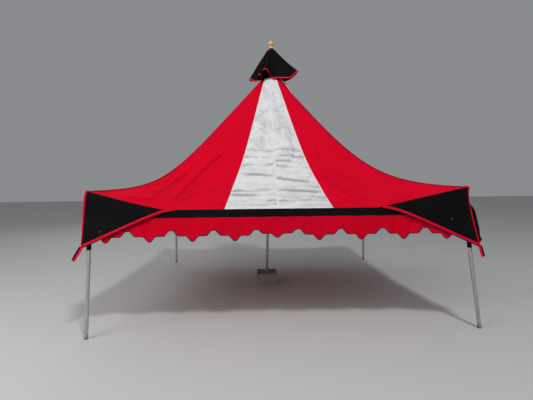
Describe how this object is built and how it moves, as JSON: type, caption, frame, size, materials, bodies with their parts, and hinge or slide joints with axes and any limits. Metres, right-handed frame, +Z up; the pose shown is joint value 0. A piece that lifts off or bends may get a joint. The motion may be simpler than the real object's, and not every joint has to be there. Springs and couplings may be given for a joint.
{
  "type": "medieval pavilion tent",
  "caption": "Square striped pavilion tent with a steep sagging peak, scalloped valances, black corner wings, a black cap and a turned finial.",
  "frame": {"origin": "on the ground straight under the roof's peak, at the front of the block under the mast", "axes": "+Z up, -Y towards the front of the tent, +X to the right seen from the front"},
  "size_m": [4.616, 4.4944, 4.108],
  "materials": {
    "red_canvas": "plain-weave cotton duck, crimson",
    "white_canvas": "plain-weave cotton duck, bleached",
    "black_canvas": "plain-weave cotton duck, black",
    "red_webbing": "woven cotton webbing and piping",
    "galvanised_tube": "galvanised steel tube, satin",
    "turned_wood": "turned hardwood, oiled",
    "concrete": "cast concrete block, rough"
  },
  "bodies": {
    "root": {"back_eave_band": "black_canvas", "back_gore_red_left": "red_canvas", "back_gore_red_right": "red_canvas", "back_gore_white": "white_canvas", "back_valance": "red_canvas", "binding_back_left": "red_webbing", "binding_back_right": "red_webbing", "binding_front_left": "red_webbing", "binding_front_right": "red_webbing", "block_left": "concrete", "block_right": "concrete", "cap": "black_canvas", "crown_collar": "black_canvas", "finial": "turned_wood", "front_eave_band": "black_canvas", "front_gore_red_left": "red_canvas", "front_gore_red_right": "red_canvas", "front_gore_white": "white_canvas", "front_valance": "red_canvas", "left_eave_band": "black_canvas", "left_gore_red_left": "red_canvas", "left_gore_red_right": "red_canvas", "left_gore_white": "white_canvas", "left_valance": "red_canvas", "mast": "galvanised_tube", "pole_back_left": "galvanised_tube", "pole_back_right": "galvanised_tube", "pole_front_left": "galvanised_tube", "pole_front_right": "galvanised_tube", "right_eave_band": "black_canvas", "right_gore_red_left": "red_canvas", "right_gore_red_right": "red_canvas", "right_gore_white": "white_canvas", "right_valance": "red_canvas", "sleeve_back_left": "black_canvas", "sleeve_back_right": "black_canvas", "sleeve_front_left": "black_canvas", "sleeve_front_right": "black_canvas", "wing_back_left_across": "black_canvas", "wing_back_left_side": "black_canvas", "wing_back_right_across": "black_canvas", "wing_back_right_side": "black_canvas", "wing_front_left_across": "black_canvas", "wing_front_left_side": "black_canvas", "wing_front_right_across": "black_canvas", "wing_front_right_side": "black_canvas"}
  },
  "joints": []
}
